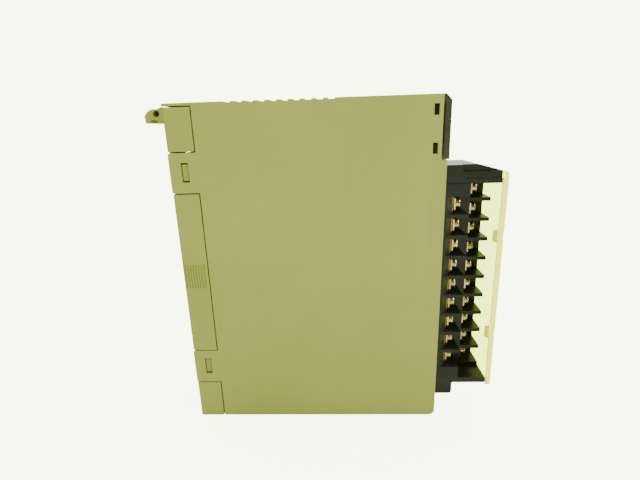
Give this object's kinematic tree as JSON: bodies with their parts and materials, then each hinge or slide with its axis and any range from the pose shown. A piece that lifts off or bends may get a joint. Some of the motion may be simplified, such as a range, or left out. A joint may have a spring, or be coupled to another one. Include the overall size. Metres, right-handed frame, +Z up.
{
  "type": "plc module",
  "caption": "Upright PLC module with a vented case, smoked indicator window and a clear hinged cover over a plug-in block of screw terminals.",
  "frame": {"origin": "on the rear mounting face, half way across the width, level with the underside", "axes": "+Z up, -Y towards the front of the module, +X towards the hinge side of the terminal cover"},
  "size_m": [0.0344, 0.1329, 0.13],
  "materials": {
    "case_plastic": "fine moulded texture, satin",
    "black_plastic": "moulded, satin",
    "smoked_plastic": "translucent smoked, glossy",
    "clear_plastic": "clear, slightly yellowed, glossy",
    "circuit_board": "solder mask, satin",
    "component_plastic": "moulded package",
    "relay_plastic": "moulded relay case",
    "lamp_plastic": "diffused lamp body",
    "capacitor_can": "sleeved can",
    "contact_metal": "plated, bright",
    "screw_metal": "plated, bright",
    "black_screw": "blackened steel"
  },
  "bodies": {
    "module": {"main_case": "case_plastic", "rear_cover": "case_plastic", "front_frame": "black_plastic", "indicator_window": "smoked_plastic", "indicator_mask": "black_plastic", "indicator_board": "circuit_board", "status_lamps": "lamp_plastic", "main_board": "circuit_board", "board_screws": "screw_metal", "output_relays": "relay_plastic", "optocouplers": "component_plastic", "logic_chips": "component_plastic", "capacitors": "capacitor_can", "bus_connector": "black_plastic", "bus_contacts": "contact_metal", "terminal_socket": "black_plastic", "socket_contacts": "contact_metal"},
    "terminal_block": {"terminal_base": "black_plastic", "terminal_plates": "contact_metal", "terminal_washers": "screw_metal", "terminal_screws": "screw_metal", "block_pins": "contact_metal"},
    "cover": {"terminal_cover": "clear_plastic"},
    "lower_screw": {"lower_block_screw": "black_screw"},
    "upper_screw": {"upper_block_screw": "black_screw"},
    "foot_screw": {"foot_bolt": "screw_metal"}
  },
  "joints": [
    {"name": "block_slide", "type": "slide", "parent": "module", "child": "terminal_block", "axis": [0, -1, 0], "range_m": [0, 0.012]},
    {"name": "cover_hinge", "type": "hinge", "parent": "terminal_block", "child": "cover", "pos_m": [0.0136, -0.1199, 0.058], "axis": [0, 0, 1], "range_deg": [0, 120]},
    {"name": "lower_screw_turn", "type": "hinge", "parent": "terminal_block", "child": "lower_screw", "pos_m": [0.0085, -0.104, 0.0132], "axis": [0, -1, 0], "continuous": true},
    {"name": "upper_screw_turn", "type": "hinge", "parent": "terminal_block", "child": "upper_screw", "pos_m": [0.0085, -0.104, 0.1019], "axis": [0, -1, 0], "continuous": true},
    {"name": "foot_bolt_turn", "type": "hinge", "parent": "module", "child": "foot_screw", "pos_m": [-0.006, -0.012, 0.0064], "axis": [0, -1, 0], "continuous": true}
  ]
}
